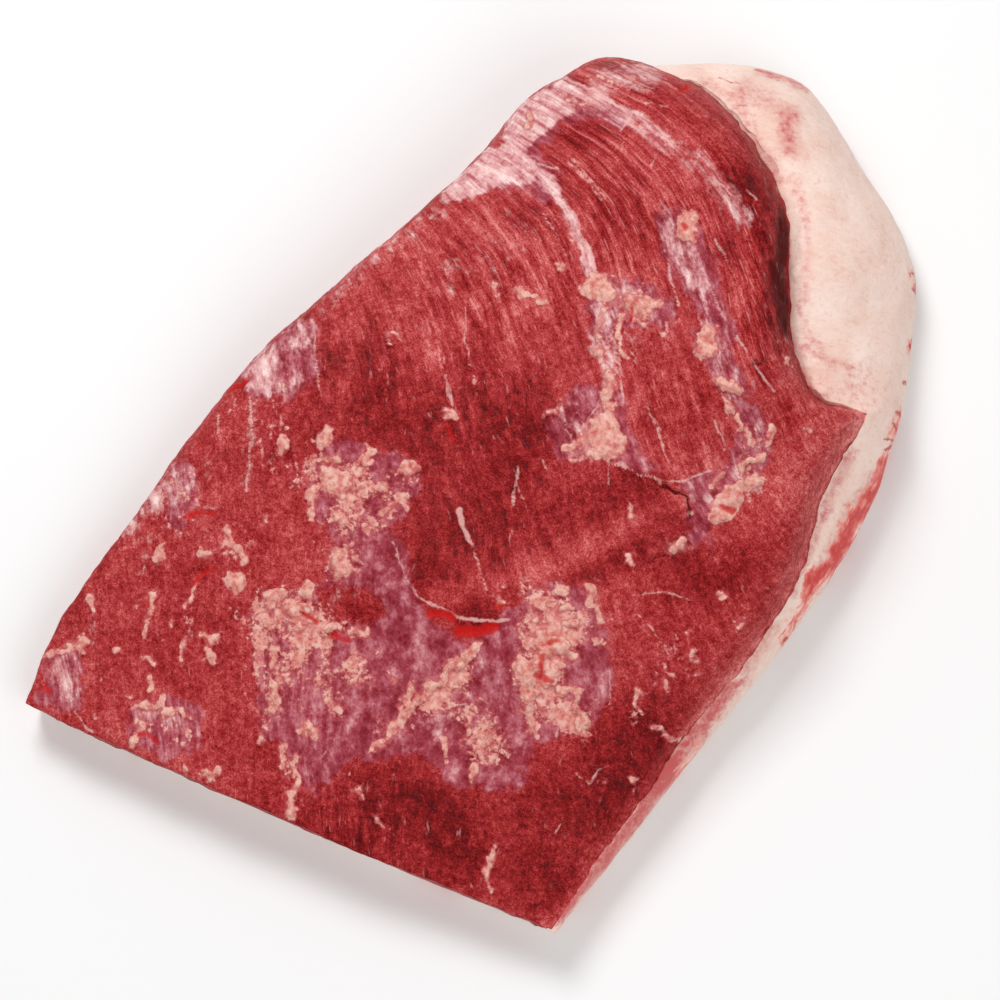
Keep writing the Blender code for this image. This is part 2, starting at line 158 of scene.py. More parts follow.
# Thin pale strands, seams and edges of membrane: their paths, by half width.
STRANDS = {
    3: [[(459, 510), (464, 524)]],
    2.4: [[(464, 524), (470, 544)]],
    2: [[(564, 80), (584, 85), (606, 101), (631, 113), (622, 131)], [(518, 466), (515, 490), (513, 504)]],
    1.8: [[(419, 599), (439, 607), (461, 617), (480, 620), (509, 620)]],
    1.6: [[(503, 145), (520, 151), (534, 162), (556, 168)], [(746, 191), (755, 199)],
          [(585, 240), (592, 262), (600, 276)], [(620, 463), (628, 468), (638, 473), (655, 478), (661, 485)],
          [(249, 396), (250, 430), (249, 463)], [(76, 712), (86, 726), (93, 731)]],
    1.5: [[(472, 545), (479, 566)], [(218, 414), (217, 433)]],
    1.4: [[(556, 186), (566, 204), (578, 222), (584, 242), (594, 269), (599, 279)],
          [(593, 306), (600, 330), (606, 353)], [(616, 346), (620, 376), (623, 406)],
          [(626, 333), (635, 363)], [(610, 464), (631, 470), (658, 479), (679, 480), (694, 477), (709, 471)],
          [(316, 337), (317, 370), (322, 396)], [(559, 823), (556, 833)],
          [(614, 330), (606, 356), (612, 384)], [(600, 400), (584, 428), (566, 440)]],
    1.3: [[(234, 400), (234, 413)], [(194, 504), (205, 507), (223, 506)]],
    1.2: [[(569, 163), (589, 183), (601, 202)], [(573, 160), (593, 180), (605, 199)],
          [(543, 212), (556, 236), (566, 256)], [(624, 136), (622, 149)], [(665, 134), (665, 146)],
          [(657, 149), (649, 171)], [(599, 83), (619, 90)], [(646, 103), (667, 108)],
          [(713, 176), (735, 199)], [(760, 160), (760, 170)], [(666, 250), (672, 280), (679, 306)],
          [(668, 323), (668, 340)], [(608, 469), (610, 485)], [(560, 397), (566, 430), (580, 452)],
          [(575, 400), (590, 440)], [(438, 356), (446, 385), (451, 406)],
          [(465, 306), (465, 340), (478, 397)], [(479, 566), (483, 578), (487, 591)],
          [(632, 595), (647, 593), (667, 593), (689, 600)], [(608, 664), (611, 690), (609, 706)],
          [(656, 420), (668, 461)], [(714, 420), (726, 450)], [(249, 463), (246, 492)],
          [(262, 436), (264, 469)], [(270, 426), (281, 426)], [(281, 414), (284, 430)],
          [(440, 340), (446, 370), (452, 400)], [(513, 466), (518, 485), (523, 500)],
          [(543, 460), (546, 472)], [(419, 703), (440, 708), (469, 703)],
          [(424, 714), (450, 716), (460, 708)], [(576, 774), (588, 785), (598, 770), (609, 764)],
          [(209, 566), (225, 558)], [(320, 760), (340, 735)], [(560, 702), (556, 735)],
          [(700, 262), (712, 290), (724, 318)], [(716, 240), (730, 268), (742, 300)],
          [(736, 336), (752, 362), (772, 392)], [(648, 404), (656, 428), (664, 448)]],
    1: [[(392, 540), (404, 572), (419, 599)], [(638, 614), (651, 627), (661, 644), (669, 656)]],
}

# Outlines of the silverskin, a thin mauve membrane that covers parts of the lean.
MEMBRANES = [
    [(296, 789), (323, 788), (346, 774), (359, 759), (373, 766), (399, 756), (414, 758), (431, 771),
     (449, 784), (472, 788), (503, 796), (520, 786), (526, 770), (539, 742), (563, 733), (586, 725),
     (604, 709), (613, 690), (612, 650), (606, 625), (597, 600), (575, 584), (550, 583), (525, 596),
     (508, 612), (485, 632), (470, 640), (440, 625), (424, 608), (412, 580), (405, 545), (392, 522),
     (362, 522), (338, 540), (330, 580), (300, 588), (262, 592), (248, 610), (250, 650), (256, 690),
     (262, 738), (280, 745), (285, 770)],
    [(318, 440), (345, 438), (380, 455), (412, 462), (420, 475), (410, 515), (395, 530), (335, 540),
     (318, 520), (310, 490), (316, 465)],
    [(128, 712), (140, 700), (160, 694), (175, 697), (200, 700), (205, 715), (198, 735), (200, 748),
     (185, 756), (160, 758), (140, 748), (128, 735)],
    [(38, 700), (50, 655), (70, 646), (83, 650), (84, 690), (78, 706), (60, 708)],
    [(236, 368), (262, 345), (292, 322), (318, 318), (320, 345), (318, 375), (306, 392), (290, 402),
     (276, 398), (262, 400), (245, 393)],
    [(548, 440), (556, 410), (575, 388), (600, 380), (622, 392), (628, 420), (640, 452), (664, 470),
     (640, 474), (615, 466), (590, 460), (560, 458)],
    [(680, 478), (712, 470), (730, 452), (738, 430), (733, 405), (745, 395), (765, 420), (772, 450),
     (760, 480), (740, 500), (716, 520), (708, 548), (686, 544), (690, 505)],
    [(690, 330), (712, 318), (722, 345), (745, 370), (756, 398), (738, 400), (716, 384), (696, 362)],
    [(654, 214), (680, 204), (706, 236), (720, 276), (734, 316), (742, 346), (722, 340), (700, 316),
     (680, 290), (662, 254)],
    [(580, 262), (600, 272), (626, 280), (655, 290), (676, 300), (680, 330), (650, 326), (620, 330),
     (600, 360), (586, 330), (590, 300)],
    [(505, 128), (520, 104), (545, 84), (570, 76), (600, 92), (634, 112), (626, 134), (600, 118),
     (565, 124), (545, 150), (556, 172), (530, 168), (508, 152)],
    [(452, 182), (470, 158), (490, 140), (520, 150), (552, 170), (560, 200), (530, 196), (500, 190),
     (470, 196)],
    [(168, 470), (180, 460), (196, 464), (194, 482), (196, 496), (186, 512), (184, 528), (164, 530),
     (160, 514), (168, 500), (156, 490)],
]

# Patches where the membrane is thick or has fat in it and looks pale, and painted sheen, as (amount, half
# width, path).
# The strongest patch, near (530, 120) in the picture, and the stroke along the upper left edge from (326,
# 306) to (444, 206) are painted sheen and highlight.
PALE = [
    (1.3, 12, [(256, 372), (268, 360)]), (1.2, 10, [(262, 384), (272, 386)]),
    (0.9, 10, [(298, 340), (310, 326)]), (1.8, 12, [(518, 130), (535, 118), (552, 106)]),
    (1.1, 9, [(466, 176), (496, 160), (520, 172)]), (1, 8, [(448, 192), (470, 182)]),
    (0.9, 8, [(612, 350), (606, 400), (590, 450), (572, 452)]), (0.3, 12, [(462, 700), (440, 740)]),
    (0.5, 12, [(478, 668), (440, 716), (414, 742)]), (0.9, 10, [(545, 690), (556, 660)]),
    (0.9, 9, [(60, 668), (72, 692)]), (0.8, 9, [(620, 290), (650, 312)]), (0.8, 7, [(735, 470), (756, 488)]),
    (0.8, 9, [(272, 612), (300, 616)]), (0.9, 9, [(140, 720), (160, 710), (176, 722)]),
    (0.9, 16, [(604, 82), (626, 76), (650, 76)]), (0.7, 6, [(300, 375), (296, 388)]),
    (0.6, 9, [(500, 740), (478, 762)]), (0.9, 6, [(593, 592), (599, 622)]),
    (0.6, 7, [(708, 500), (722, 520)]), (0.9, 7, [(668, 548), (684, 544)]),
    (0.8, 5, [(520, 152), (548, 178), (568, 216), (582, 250), (598, 284)]),
    (0.6, 8, [(600, 290), (604, 320), (596, 350)]), (0.5, 6, [(700, 150), (730, 190), (748, 220)]),
    (0.5, 8, [(630, 110), (650, 130), (660, 150)]), (0.4, 8, [(668, 210), (672, 240)]),
    (0.4, 7, [(690, 250), (700, 290)]), (0.8, 8, [(560, 410), (590, 440)]),
    (0.5, 10, [(160, 500), (180, 480)]), (0.5, 8, [(128, 520), (124, 530)]),
    (0.5, 10, [(330, 600), (350, 590)]), (0.8, 5, [(560, 85), (600, 98), (626, 114)]),
    (0.3, 8, [(400, 560), (412, 590)]), (0.5, 9, [(700, 470), (690, 500)]),
    (0.5, 6, [(775, 330), (795, 350)]), (0.4, 22, [(450, 280), (520, 230)]),
    (0.4, 18, [(690, 270), (730, 340)]), (0.5, 12, [(640, 120), (700, 166), (740, 220)]),
    (0.4, 12, [(656, 220), (690, 280)]), (0.35, 22, [(200, 470), (140, 560)]),
    (0.4, 18, [(90, 620), (60, 680)]), (0.4, 14, [(616, 330), (650, 350)]),
    (0.6, 9, [(326, 306), (360, 274), (400, 240), (444, 206)]),
    (0.6, 9, [(130, 524), (150, 500), (166, 480)]), (0.5, 8, [(250, 404), (252, 440), (248, 480)]),
]

# Wider pale patches of membrane, as (amount, outline). The first, near (530, 120) in the picture, is partly
# painted sheen.
FROSTED_AND_SHEEN = [
    (1.3, [(498, 152), (503, 130), (515, 108), (532, 92), (556, 92), (566, 104), (560, 118), (548, 130),
           (536, 142), (528, 152), (512, 152)]),
    (0.6, [(532, 92), (545, 82), (566, 77), (590, 90), (606, 104), (634, 116), (627, 134), (604, 124),
           (575, 116), (552, 118), (540, 104)]),
    (1.3, [(450, 194), (466, 168), (486, 150), (504, 147), (531, 157), (540, 170), (538, 182), (520, 186),
           (498, 188), (475, 198)]),
    (0.5, [(531, 157), (550, 170), (573, 214), (589, 253), (600, 283), (590, 286), (578, 256), (564, 226),
           (548, 198), (536, 184)]),
    (0.4, [(580, 276), (605, 268), (625, 282), (660, 290), (680, 304), (668, 318), (640, 318), (616, 316),
           (606, 330), (602, 372), (594, 364), (590, 320)]),
    (0.5, [(694, 312), (712, 320), (724, 350), (750, 390), (762, 424), (772, 450), (756, 468), (744, 440),
           (726, 400), (704, 364)]),
    (0.2, [(640, 108), (668, 134), (704, 164), (740, 205), (756, 230), (744, 236), (704, 190), (664, 156),
           (640, 132)]),
    (0.2, [(652, 206), (672, 200), (700, 204), (704, 238), (692, 264), (668, 250), (656, 228)]),
    (0.2, [(236, 368), (262, 345), (292, 322), (318, 318), (318, 375), (290, 402), (245, 393)]),
]

# Holes in the silverskin, where red meat shows.
HOLES = [
    [(318, 590), (340, 586), (362, 590), (380, 600), (386, 614), (372, 621), (352, 627), (342, 636),
     (322, 632), (316, 612)],
    [(264, 748), (276, 742), (286, 760), (280, 776), (268, 770)],
]

# Torn places that are wet and bright red: their paths, by half width.
TEARS = {
    6: [[(458, 630), (480, 630), (494, 626)]],
    4: [[(430, 613), (452, 616)]],
    3: [[(45, 688), (48, 692)], [(722, 506), (734, 510)], [(542, 658), (540, 676)],
        [(536, 674), (552, 680)]],
    2.4: [[(494, 605), (502, 605)], [(680, 92), (698, 84), (713, 84)], [(147, 596), (148, 606)],
          [(332, 636), (350, 640)]],
    2.2: [[(630, 321), (634, 308)], [(686, 226), (688, 229)]],
    2: [[(228, 391), (238, 384), (247, 378)], [(138, 736), (148, 734), (158, 742)],
        [(206, 638), (208, 646)], [(548, 644), (560, 642)], [(300, 612), (318, 622)]],
    1.8: [[(214, 566), (200, 574), (194, 586)], [(183, 516), (200, 514), (216, 512)]],
    1.4: [[(446, 424), (454, 440)]],
}

# Cracks and hollows between muscles, as (half width, depth in mm, path). Each is carved to its depth and also
# painted dark as painted shade, the more so the deeper it is.
CREVICES = [
    (5, 0.6, [(772, 190), (780, 206), (785, 218)]), (9, 0.85, [(786, 222), (787, 240), (787, 262)]),
    (8, 0.85, [(774, 262), (780, 282), (785, 296)]), (9, 0.85, [(786, 286), (786, 312), (788, 328)]),
    (4, 0.7, [(789, 332), (795, 346), (800, 356)]), (4, 0.6, [(764, 266), (769, 284), (776, 306)]),
    (2, 1.4, [(661, 485), (676, 492), (686, 499), (690, 510), (691, 520)]),
    (1.4, 0.7, [(478, 331), (488, 354)]), (2.4, 0.7, [(754, 363), (766, 360)]),
    (1.2, 0.8, [(406, 486), (420, 489)]), (1.4, 1, [(241, 571), (245, 582)]),
    (1.3, 0.9, [(320, 632), (338, 637)]), (1.2, 0.7, [(217, 764), (228, 768), (235, 780), (234, 794)]),
    (1.2, 0.7, [(594, 766), (602, 769)]), (1.2, 0.7, [(558, 814), (566, 811)]),
    (1.2, 0.8, [(282, 748), (284, 762)]), (1.3, 0.9, [(347, 627), (354, 623)]),
    (1.2, 0.7, [(229, 392), (238, 385), (247, 379)]), (1.3, 0.8, [(368, 592), (380, 600), (386, 612)]),
    (1.2, 0.7, [(626, 472), (642, 480), (660, 486)]), (1.2, 0.8, [(640, 566), (656, 558), (676, 554)]),
]

# Tone of the lean, and painted shade and highlight on it, as (amount, half width, path): above 0 is darker,
# below 0 is paler.
# The dark stroke down the hump's right flank, near (760, 250), and the last four strokes, in the crevice
# beside the fat and under a fibre fold, are painted shade; the pale strokes along the front edge and along
# the fat's border are painted highlight.
TONES_AND_SHADE = [
    (1, 60, [(330, 840), (420, 840), (500, 860), (560, 880)]), (0.9, 45, [(390, 790), (420, 800)]),
    (0.8, 38, [(560, 790), (600, 770), (640, 740)]), (0.8, 40, [(620, 800), (660, 720)]),
    (0.5, 34, [(520, 400), (530, 440), (500, 460)]), (0.7, 14, [(570, 134), (606, 132)]),
    (0.8, 22, [(330, 610), (350, 596), (376, 612)]), (0.5, 22, [(660, 566), (700, 574), (730, 570)]),
    (0.5, 20, [(630, 490), (660, 500), (676, 512)]), (0.3, 30, [(740, 560), (760, 600)]),
    (0.4, 30, [(700, 400), (690, 440)]), (0.4, 50, [(110, 610), (170, 600)]),
    (0.4, 60, [(640, 170), (700, 200)]), (0.9, 30, [(740, 190), (760, 250), (772, 320)]),
    (-0.4, 30, [(790, 470), (830, 440)]), (0.6, 22, [(420, 700), (400, 680), (380, 700)]),
    (-0.4, 22, [(250, 520), (230, 540)]), (0.4, 30, [(340, 350), (380, 380)]),
    (0.4, 28, [(300, 520), (260, 470)]), (0.5, 20, [(264, 760), (270, 780)]),
    (-0.5, 10, [(160, 790), (300, 850), (430, 895), (540, 925)]), (-0.4, 24, [(700, 470), (640, 440)]),
    (0.8, 40, [(520, 520), (580, 530), (640, 510)]), (0.5, 50, [(440, 520), (470, 580)]),
    (0.2, 50, [(350, 350)]), (0.4, 36, [(380, 400), (440, 420)]),
    (-0.4, 10, [(856, 420), (842, 455), (826, 490), (812, 530), (796, 570), (778, 610), (752, 650),
                (730, 690), (700, 735)]),
    (0.6, 34, [(330, 410), (400, 430), (470, 430), (530, 420)]), (0.7, 40, [(430, 530), (470, 590)]),
    (-0.7, 9, [(520, 302), (508, 340), (498, 386)]), (0.4, 40, [(500, 380), (540, 440)]),
    (0.2, 40, [(240, 560), (190, 690)]), (0.3, 40, [(720, 560), (690, 620)]),
    (-1.1, 12, [(440, 596), (490, 586), (560, 560), (620, 528), (680, 500)]),
    (0.7, 10, [(560, 590), (640, 552)]), (2.2, 7, [(786, 214), (788, 240), (787, 262)]),
    (2.4, 7, [(780, 276), (787, 300), (789, 330)]), (1.2, 5, [(756, 364), (768, 380)]),
    (1, 8, [(797, 352), (810, 374)]),
]

# Where the lean is mottled with small bits of cream fat, as (density, half width, path).
MARBLING = [
    (1, 20, [(258, 610), (300, 606), (320, 626)]), (0.8, 20, [(262, 650), (272, 700)]),
    (0.85, 26, [(300, 650), (330, 690), (360, 670)]), (0.9, 22, [(326, 470), (345, 500), (342, 560)]),
    (0.8, 18, [(365, 480), (400, 480), (385, 515)]), (1.3, 24, [(545, 640), (540, 690), (570, 715)]),
    (1, 24, [(540, 600), (570, 620)]), (0.9, 22, [(450, 690), (480, 740), (500, 750)]),
    (0.8, 18, [(730, 500), (745, 480)]), (0.6, 16, [(740, 420), (756, 450)]),
    (0.7, 18, [(600, 286), (640, 300)]), (0.7, 18, [(150, 720), (180, 735)]),
    (0.6, 20, [(180, 480), (180, 520), (166, 500)]), (0.5, 24, [(270, 440), (290, 470)]),
    (0.6, 20, [(210, 550), (240, 545)]), (0.5, 20, [(150, 610), (205, 645)]),
    (0.5, 22, [(250, 400), (300, 380)]), (0.5, 20, [(540, 110), (600, 90), (640, 80)]),
    (0.6, 16, [(390, 730), (420, 700), (470, 660)]), (0.4, 26, [(60, 680), (90, 720)]),
    (0.4, 30, [(660, 650), (640, 700)]), (0.5, 14, [(296, 760), (292, 800)]),
]

# Where the fibres stand out as ridges, as (strength, half width, path).
COMBED = [
    (1, 60, [(600, 150), (680, 200), (760, 280)]), (1, 50, [(560, 200), (600, 260)]),
    (0.8, 30, [(600, 80), (660, 80)]), (0.9, 50, [(470, 240), (500, 300)]),
    (0.6, 60, [(420, 340), (480, 420)]), (0.6, 40, [(460, 540), (520, 560)]),
    (0.6, 50, [(640, 400), (700, 440)]), (0.6, 30, [(740, 340), (790, 400)]),
    (0.4, 40, [(350, 360)]), (0.5, 40, [(400, 820), (340, 820)]),
]

# Pink on the fat, as (amount, half width, path).
BLUSHES = [
    (0.58, 11, [(790, 116), (784, 130), (790, 146)]), (0.35, 12, [(745, 90), (770, 104)]),
    (0.3, 6, [(793, 181), (806, 222), (807, 262), (806, 300)]), (0.25, 24, [(820, 384), (860, 396)]),
    (0.3, 3, [(837, 126), (868, 166), (895, 206)]), (0.3, 4, [(798, 306), (810, 340), (824, 350)]),
    (0.5, 5, [(760, 72), (784, 78), (806, 86)]), (0.4, 7, [(870, 480), (848, 516), (812, 590)]),
    (0.7, 9, [(730, 690), (700, 730), (660, 780)]), (0.75, 10, [(670, 770), (620, 840), (560, 915)]),
    (0.35, 6, [(704, 82), (736, 100), (760, 140), (780, 180)]), (0.4, 8, [(770, 630), (740, 680)]),
    (0.35, 4, [(800, 344), (820, 358), (850, 366)]), (0.45, 5, [(790, 362), (800, 384), (826, 402)]),
    (0.4, 6, [(852, 452), (832, 496), (812, 540), (790, 590)]),
]

# Outlines of the places where red shows through the fat of the wall.
RED_WALLS = [
    [(896, 408), (914, 400), (920, 420), (905, 470), (884, 505), (862, 535), (848, 556), (838, 576),
     (824, 590), (806, 612), (790, 640), (778, 654), (780, 640), (792, 616), (800, 590), (808, 566),
     (822, 558), (834, 530), (848, 508), (862, 486), (874, 468), (886, 446)],
    [(700, 738), (712, 736), (672, 792), (620, 860), (572, 918), (556, 932), (560, 922), (606, 866),
     (652, 806), (680, 766)],
    [(910, 268), (924, 270), (924, 300), (916, 304), (910, 290)],
    [(908, 340), (922, 330), (922, 380), (912, 392), (906, 370)],
]

# Small red cuts and flecks on the fat: their paths, by half width.
RED_SPECKS = {
    2.4: [[(912, 290), (919, 297)]],
    2.2: [[(912, 346), (914, 356)]],
    2: [[(896, 412), (904, 424)], [(884, 450), (890, 446)]],
    1.8: [[(905, 382), (911, 394)], [(894, 424), (900, 436)]],
    1.6: [[(884, 440), (896, 441)], [(786, 636), (781, 648)]],
    1.5: [[(911, 273), (921, 278)]],
    1.4: [[(911, 364), (910, 378)], [(797, 620), (793, 630)]],
    1.2: [[(738, 106)]],
    1: [[(754, 71), (780, 74), (800, 82)]],
    0.9: [[(717, 78), (728, 82), (740, 86)]],
    0.8: [[(684, 86), (697, 82), (706, 84)]],
}

STROKE_REACH = 8                # pixels outside a stroke over which its depth is still told
MEMBRANE_REACH = 14             # the same for the silverskin
TOUCHING = 0.5                  # mm; faces this near to the other piece lie against it
CLOSING = 0.2                   # mm that each piece grows where it lies against the other
BORDER_RAGS = 1.1               # mm that the line between lean and fat wanders sideways
DIVISIONS = 2                   # of every face of the CAD model


def camera_axes():
    """Unit vectors to the picture's right, to its top and back to the camera."""
    flat = math.cos(CAMERA_ELEVATION)
    back = Vector((math.sin(CAMERA_AZIMUTH) * flat, -math.cos(CAMERA_AZIMUTH) * flat,
                   math.sin(CAMERA_ELEVATION)))
    right = Vector((math.cos(CAMERA_AZIMUTH), math.sin(CAMERA_AZIMUTH), 0.0))
    return right, back.cross(right), back


def in_picture(points):
    """Where points of the frame fall in the picture, in pixels from its top left corner."""
    right, up, back = (np.array(axis) for axis in camera_axes())
    offset = points - np.array(CAMERA_TARGET)
    scale = CAMERA_DISTANCE / (CAMERA_DISTANCE - offset @ back) / (PIXEL_MM * MM)
    return PICTURE / 2 + np.stack([offset @ right, -(offset @ up)], axis=1) * scale[:, None]


def eased(value, low, high):
    """A smooth step from 0 at low to 1 at high."""
    t = np.clip((value - low) / (high - low), 0.0, 1.0)
    return t * t * (3 - 2 * t)


def noise(points, size, seed):
    """Smooth noise from -1 to 1 in two or three dimensions; size is that of its cells."""
    place = points / size + 31.7 * seed
    cell = np.floor(place).astype(np.int64)
    part = place - cell
    part = part * part * (3 - 2 * part)
    total = np.zeros(len(points))
    for corner in product((0, 1), repeat=points.shape[1]):
        mixed = (cell + corner) @ np.array([73856093, 19349663, 83492791][:points.shape[1]])
        mixed = (mixed ^ (mixed >> 13)) * 1274126177 & 0x7FFFFFFF
        value = ((mixed ^ (mixed >> 15)) & 0xFFFF) / 32767.5 - 1.0
        total += value * np.prod(np.where(corner, part, 1 - part), axis=1)
    return total


def rough_noise(points, size, seed, octaves=3):
    """Noise with finer and weaker noise added to it."""
    total = np.zeros(len(points))
    for octave in range(octaves):
        total += noise(points, size / 2 ** octave, seed + 7 * octave) / 2 ** octave
    return total


def path_distance(points, path):
    """Distance from every point to a path of straight runs, or to a single stop."""
    stops = np.array(path, float)
    if len(stops) == 1:
        return np.linalg.norm(points - stops[0], axis=1)
    nearest = np.full(len(points), np.inf)
    for start, end in zip(stops[:-1], stops[1:]):
        run = end - start
        along = np.clip((points - start) @ run / (run @ run), 0.0, 1.0)
        nearest = np.minimum(nearest, np.linalg.norm(points - start - along[:, None] * run, axis=1))
    return nearest


def near_path(points, path, reach):
    """Which points lie in the box round a path that is wider than the path by the reach."""
    stops = np.array(path, float)
    inside = (points > stops.min(axis=0) - reach) & (points < stops.max(axis=0) + reach)
    return np.flatnonzero(inside.all(axis=1))


def stroke_depth(points, strokes):
    """How deep each point lies inside any of the strokes, which are given as {half width: paths}.
    Outside them it falls to -STROKE_REACH."""
    field = np.full(len(points), -float(STROKE_REACH))
    for half_width, paths in strokes.items():
        for path in paths:
            near = near_path(points, path, half_width + STROKE_REACH)
            field[near] = np.maximum(field[near], half_width - path_distance(points[near], path))
    return field


def soft_strokes(points, strokes):
    """Sum of the strokes' amounts, each fading to nothing at twice its half width."""
    field = np.zeros(len(points))
    for amount, half_width, path in strokes:
        near = near_path(points, path, 2 * half_width)
        field[near] += amount * (1 - eased(path_distance(points[near], path), 0.0, 2 * half_width))
    return field


def patch_depth(points, outlines):
    """How deep each point lies inside any of the closed outlines, below 0 outside them."""
    field = np.full(len(points), -np.inf)
    for outline in outlines:
        stops = np.array(outline + outline[:1], float)
        inside = np.zeros(len(points), bool)
        for (x0, y0), (x1, y1) in zip(stops[:-1], stops[1:]):
            if y0 != y1:
                spans = (points[:, 1] > min(y0, y1)) & (points[:, 1] <= max(y0, y1))
                crossing = x0 + (points[:, 1] - y0) * (x1 - x0) / (y1 - y0)
                inside ^= spans & (points[:, 0] < crossing)
        distance = path_distance(points, stops)
        field = np.maximum(field, np.where(inside, distance, -distance))
    return field


def soft_patches(points, patches):
    """Sum of the amounts of the closed outlines that each point is in, with soft edges."""
    field = np.zeros(len(points))
    for amount, outline in patches:
        near = near_path(points, outline, 8.0)
        field[near] += amount * eased(patch_depth(points[near], [outline]), -7.0, 7.0)
    return field


def fit_grain():
    """Two polynomials over the picture whose slopes follow the fibres: along them and across them."""
    powers = [(i, j) for i, j in product(range(GRAIN_DEGREE + 1), repeat=2) if 0 < i + j <= GRAIN_DEGREE]
    guides = np.array(FIBRES, float)
    x, y = (grid.ravel() for grid in np.meshgrid(np.arange(20, 980, 40.0), np.arange(40, 980, 40.0)))
    away = ((x[:, None] - guides[:, 0]) ** 2 + (y[:, None] - guides[:, 1]) ** 2) / FIBRE_BLEND ** 2
    weight = np.exp(-0.5 * away) + 1e-3 / (1 + away)
    angle = np.radians(weight @ guides[:, 2] / weight.sum(axis=1))
    half = PICTURE / 2
    u, v = x / half - 1, y / half - 1
    slope_u = np.stack([i * u ** max(i - 1, 0) * v ** j for i, j in powers], axis=1) / half
    slope_v = np.stack([j * u ** i * v ** max(j - 1, 0) for i, j in powers], axis=1) / half
    cos = np.cos(angle)[:, None]
    sin = np.sin(angle)[:, None]
    target = np.concatenate([np.zeros(len(angle)), np.full(len(angle), GRAIN_EVENNESS)])
    fits = []
    for grow_x, grow_y in ((cos, sin), (-sin, cos)):
        still = slope_u * grow_y - slope_v * grow_x
        growing = slope_u * grow_x + slope_v * grow_y
        rows = np.vstack([still, GRAIN_EVENNESS * growing])
        fits.append(np.linalg.lstsq(rows, target, rcond=None)[0])

    def grain(picture):
        u, v = (picture / half - 1).T
        terms = np.stack([u ** i * v ** j for i, j in powers], axis=1)
        return np.stack([terms @ fit for fit in fits], axis=1) * PIXEL_MM

    return grain


def add_object(name, data):
    made = bpy.data.objects.new(name, data)
    bpy.context.scene.collection.objects.link(made)
    return made


def cad_surface(node):
    """The CAD node's surface, ready to be asked how near a point is to it."""
    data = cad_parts[node].data
    return BVHTree.FromPolygons([vertex.co for vertex in data.vertices],
                                [tuple(face.vertices) for face in data.polygons])


def refined(node, name, neighbour, also_divide):
    """A finely divided, smooth copy of a CAD node. Its edges stay sharp where it leaves the
    neighbour's surface, at the cut end and round the base. also_divide says which faces get one
    more division, once the others are done."""
    mesh = bmesh.new()
    mesh.from_mesh(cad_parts[node].data)
    bmesh.ops.remove_doubles(mesh, verts=mesh.verts[:], dist=1e-5)
    bmesh.ops.join_triangles(mesh, faces=mesh.faces[:], angle_face_threshold=math.radians(40),
                             angle_shape_threshold=math.radians(70))
    touches = {face: neighbour.find_nearest(face.calc_center_median())[3] < TOUCHING * MM
               for face in mesh.faces}
    creases = mesh.edges.layers.float.new("crease_edge")
    for edge in mesh.edges:
        faces = edge.link_faces
        ends_cut = len({face.normal.y < -0.8 for face in faces}) == 2
        ends_base = len({face.normal.z < -0.9 for face in faces}) == 2
        if len({touches[face] for face in faces}) == 2:
            edge[creases] = 1.0
            edge.smooth = False
        elif ends_cut or ends_base:
            edge[creases] = 0.8
    coarse = bpy.data.meshes.new(name + "_coarse")
    mesh.to_mesh(coarse)
    mesh.free()
    holder = add_object(name + "_coarse", coarse)
    smooth = holder.modifiers.new("smooth", "SUBSURF")
    smooth.levels = DIVISIONS
    data = bpy.data.meshes.new_from_object(holder.evaluated_get(bpy.context.evaluated_depsgraph_get()))
    bpy.data.objects.remove(holder)

    mesh = bmesh.new()
    mesh.from_mesh(data)
    edges = {edge for face in mesh.faces if also_divide(face) for edge in face.edges}
    bmesh.ops.subdivide_edges(mesh, edges=list(edges), cuts=1, use_grid_fill=True)
    mesh.to_mesh(data)
    mesh.free()
    data.name = name
    return add_object(name, data)


class Skin:
    """A piece's vertices as arrays: where they are, which way they face and what is painted there."""

    def __init__(self, piece, neighbour):
        self.piece = piece
        self.points, self.normals = (self.of_vertices(kind) for kind in ("co", "normal"))
        self.picture = in_picture(self.points)
        self.mm = self.points / MM
        self.shown = eased(self.normals @ np.array(camera_axes()[2]), 0.05, 0.28)
        self.away = np.array([neighbour.find_nearest(point)[3] for point in self.points]) / MM

    def of_vertices(self, kind):
        values = np.zeros(len(self.piece.data.vertices) * 3)
        self.piece.data.vertices.foreach_get(kind, values)
        return values.reshape(-1, 3)

    def move(self, height_mm):
        """Moves the surface out along its normals, inside the CAD model's box. Where lean and fat
        meet, both are moved sideways alike instead, so that they part along a ragged line."""
        height_mm = height_mm * eased(self.away, 0.5, 4.0) * eased(self.mm[:, 2], 0.4, 5.0)
        height_mm += CLOSING * (self.away < TOUCHING)
        moved = self.mm + self.normals * height_mm[:, None]
        border = BORDER_RAGS * (1 - eased(self.away, 3.0, 9.0)) * eased(self.mm[:, 2], 6.0, 16.0)
        for axis in (0, 1):
            moved[:, axis] += border * rough_noise(self.mm, 7.0, 51 + axis)
        self.points = np.clip(moved * MM, CAD_LOW, CAD_HIGH)
        self.piece.data.vertices.foreach_set("co", self.points.ravel())
        self.piece.data.shade_smooth()
        self.piece.data.update()

    def paint(self, **layers):
        """Gives the mesh an attribute of each layer's name, which its material reads."""
        for name, values in layers.items():
            kind = "FLOAT" if values.ndim == 1 else "FLOAT_VECTOR"
            layer = self.piece.data.attributes.new(name, kind, "POINT")
            layer.data.foreach_set("value" if kind == "FLOAT" else "vector",
                                   values.astype(np.float32).ravel())


def ragged(picture, reach=2.4):
    """Picture positions pushed about a little, so that what is drawn with them has torn edges."""
    pushed = picture.copy()
    for axis in (0, 1):
        pushed[:, axis] += reach * rough_noise(picture, 11.0, 3 + axis)
    return pushed


